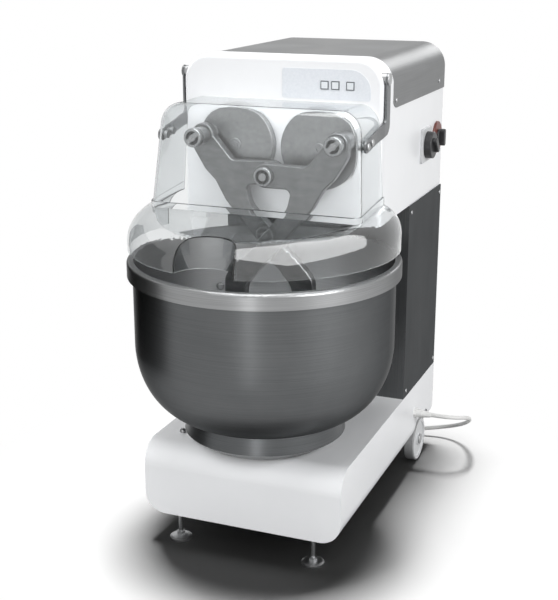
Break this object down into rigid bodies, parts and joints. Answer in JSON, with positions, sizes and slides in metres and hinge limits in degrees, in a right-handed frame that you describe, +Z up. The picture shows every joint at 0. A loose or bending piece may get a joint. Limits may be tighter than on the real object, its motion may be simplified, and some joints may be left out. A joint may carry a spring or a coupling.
{
  "type": "twin-arm dough mixer",
  "caption": "Floor-standing dough mixer: a steel bowl turns on a low base while cranked arms dive into it under a hinged clear shield.",
  "frame": {"origin": "floor level, in the middle of the machine's outline without its lead", "axes": "+Z up, -Y towards the front where the bowl is, +X to the right as seen from the front"},
  "size_m": [0.6402, 1.0534, 1.042],
  "materials": {
    "white_paint": "satin white paint",
    "brushed_steel_cover": "upright brushing",
    "bowl_steel": "spun and brushed round the axis",
    "cast_alloy": "satin cast and turned",
    "machined_steel": "machined",
    "frame_steel": "grey primer",
    "clear_shield": "clear moulded plastic",
    "bronze_bush": "sintered",
    "panel_film": "pale grey film",
    "key_plastic": "moulded",
    "black_plastic": "moulded, fine grain",
    "brown_plastic": "moulded",
    "wheel_rubber": "white face with dark tread",
    "belt_rubber": "plain",
    "white_lead": "plain sheath",
    "tie_plastic": "plain"
  },
  "bodies": {
    "frame": {"base_shell": "white_paint", "head_casing": "white_paint", "head_front_cover": "white_paint", "column_cover": "brushed_steel_cover", "head_top_cover": "brushed_steel_cover", "rear_cover": "brushed_steel_cover", "drive_motor": "cast_alloy", "bowl_reducer": "cast_alloy", "crank_bearings": "machined_steel", "bearing_plates": "machined_steel", "cover_screws": "machined_steel", "shield_hinge_pins": "machined_steel", "rear_axle": "machined_steel", "base_floor_plate": "frame_steel", "column_frame": "frame_steel", "bowl_bearing_housing": "frame_steel", "axle_brackets": "frame_steel", "electrical_box": "frame_steel", "control_panel_film": "panel_film", "switch_plate": "panel_film", "selector_bezel": "brown_plastic", "arm_drive_belt": "belt_rubber", "bowl_drive_belt": "belt_rubber", "cable_gland": "white_lead", "cord_free": "white_lead", "cord_coil": "white_lead", "cord_plug": "white_lead", "cord_tie": "tie_plastic"},
    "bowl": {"bowl_shell": "bowl_steel", "bowl_turntable": "bowl_steel"},
    "crank_left": {"crank_disc_left": "cast_alloy", "disc_bolt_left": "machined_steel", "crank_shaft_left": "machined_steel", "crank_pin_left": "machined_steel", "pin_cap_left": "cast_alloy", "crank_pulley": "cast_alloy"},
    "crank_right": {"crank_disc_right": "cast_alloy", "disc_bolt_right": "machined_steel", "crank_shaft_right": "machined_steel", "crank_pin_right": "machined_steel", "pin_cap_right": "cast_alloy"},
    "arm_left": {"mixing_arm_left": "cast_alloy", "arm_bush_left": "bronze_bush"},
    "arm_right": {"mixing_arm_right": "cast_alloy", "arm_bush_right": "bronze_bush", "pivot_cap": "cast_alloy"},
    "shield": {"shield_shell": "clear_shield", "shield_straps": "machined_steel", "strap_screws": "machined_steel"},
    "main_switch": {"main_switch_knob": "black_plastic"},
    "speed_selector": {"speed_selector_knob": "black_plastic"},
    "start_button": {"start_key": "key_plastic"},
    "speed_button": {"speed_key": "key_plastic"},
    "stop_button": {"stop_key": "key_plastic"},
    "left_wheel": {"wheel_left": "wheel_rubber"},
    "right_wheel": {"wheel_right": "wheel_rubber"},
    "left_foot": {"foot_left": "machined_steel"},
    "right_foot": {"foot_right": "machined_steel"},
    "motor_rotor": {"motor_pulley": "cast_alloy"},
    "reducer_input": {"reducer_pulley": "cast_alloy"}
  },
  "joints": [
    {"name": "crank_left_turn", "type": "hinge", "parent": "frame", "child": "crank_left", "pos_m": [-0.095, -0.076, 0.857], "axis": [0, 1, 0], "continuous": true},
    {"name": "crank_right_turn", "type": "hinge", "parent": "frame", "child": "crank_right", "pos_m": [0.095, -0.076, 0.857], "axis": [0, 1, 0], "continuous": true},
    {"name": "arm_left_turn", "type": "hinge", "parent": "crank_left", "child": "arm_left", "pos_m": [-0.15514, -0.11, 0.87889], "axis": [0, 1, 0], "continuous": true},
    {"name": "arm_right_turn", "type": "hinge", "parent": "crank_right", "child": "arm_right", "pos_m": [0.15514, -0.138, 0.87889], "axis": [0, 1, 0], "continuous": true},
    {"name": "motor_turn", "type": "hinge", "parent": "frame", "child": "motor_rotor", "pos_m": [0, 0.21, 0.47], "axis": [0, 1, 0], "continuous": true},
    {"name": "reducer_turn", "type": "hinge", "parent": "frame", "child": "reducer_input", "pos_m": [0.052, 0.2, 0.129], "axis": [0, 1, 0], "continuous": true},
    {"name": "bowl_turn", "type": "hinge", "parent": "frame", "child": "bowl", "pos_m": [0, -0.155, 0.26], "axis": [0, 0, 1], "continuous": true},
    {"name": "shield_lift", "type": "hinge", "parent": "frame", "child": "shield", "pos_m": [0, -0.046, 1.003], "axis": [-1, 0, 0], "range_deg": [0, 78]},
    {"name": "main_switch_turn", "type": "hinge", "parent": "frame", "child": "main_switch", "pos_m": [0.23, 0.285, 0.819], "axis": [1, 0, 0], "range_deg": [0, 90]},
    {"name": "speed_selector_turn", "type": "hinge", "parent": "frame", "child": "speed_selector", "pos_m": [0.23, 0.388, 0.822], "axis": [1, 0, 0], "range_deg": [-45, 45]},
    {"name": "start_key_press", "type": "slide", "parent": "frame", "child": "start_button", "axis": [0, 1, 0], "range_m": [0, 0.001], "stiffness_N_per_m": 400},
    {"name": "speed_key_press", "type": "slide", "parent": "frame", "child": "speed_button", "axis": [0, 1, 0], "range_m": [0, 0.001], "stiffness_N_per_m": 400},
    {"name": "stop_key_press", "type": "slide", "parent": "frame", "child": "stop_button", "axis": [0, 1, 0], "range_m": [0, 0.001], "stiffness_N_per_m": 400},
    {"name": "left_wheel_roll", "type": "hinge", "parent": "frame", "child": "left_wheel", "pos_m": [-0.209, 0.338, 0.055], "axis": [1, 0, 0], "continuous": true},
    {"name": "right_wheel_roll", "type": "hinge", "parent": "frame", "child": "right_wheel", "pos_m": [0.209, 0.338, 0.055], "axis": [1, 0, 0], "continuous": true},
    {"name": "left_foot_turn", "type": "hinge", "parent": "frame", "child": "left_foot", "pos_m": [-0.156, -0.269, 0.05], "axis": [0, 0, 1], "continuous": true},
    {"name": "right_foot_turn", "type": "hinge", "parent": "frame", "child": "right_foot", "pos_m": [0.156, -0.269, 0.05], "axis": [0, 0, 1], "continuous": true}
  ],
  "couplings": [
    {"joint": "crank_right_turn", "follows": "crank_left_turn", "ratio": -1},
    {"joint": "arm_left_turn", "follows": "crank_left_turn", "ratio": -1},
    {"joint": "arm_right_turn", "follows": "crank_left_turn", "ratio": 1},
    {"joint": "motor_turn", "follows": "crank_left_turn", "ratio": 2.8571},
    {"joint": "reducer_turn", "follows": "crank_left_turn", "ratio": 1.7778},
    {"joint": "bowl_turn", "follows": "crank_left_turn", "ratio": 0.17778}
  ]
}
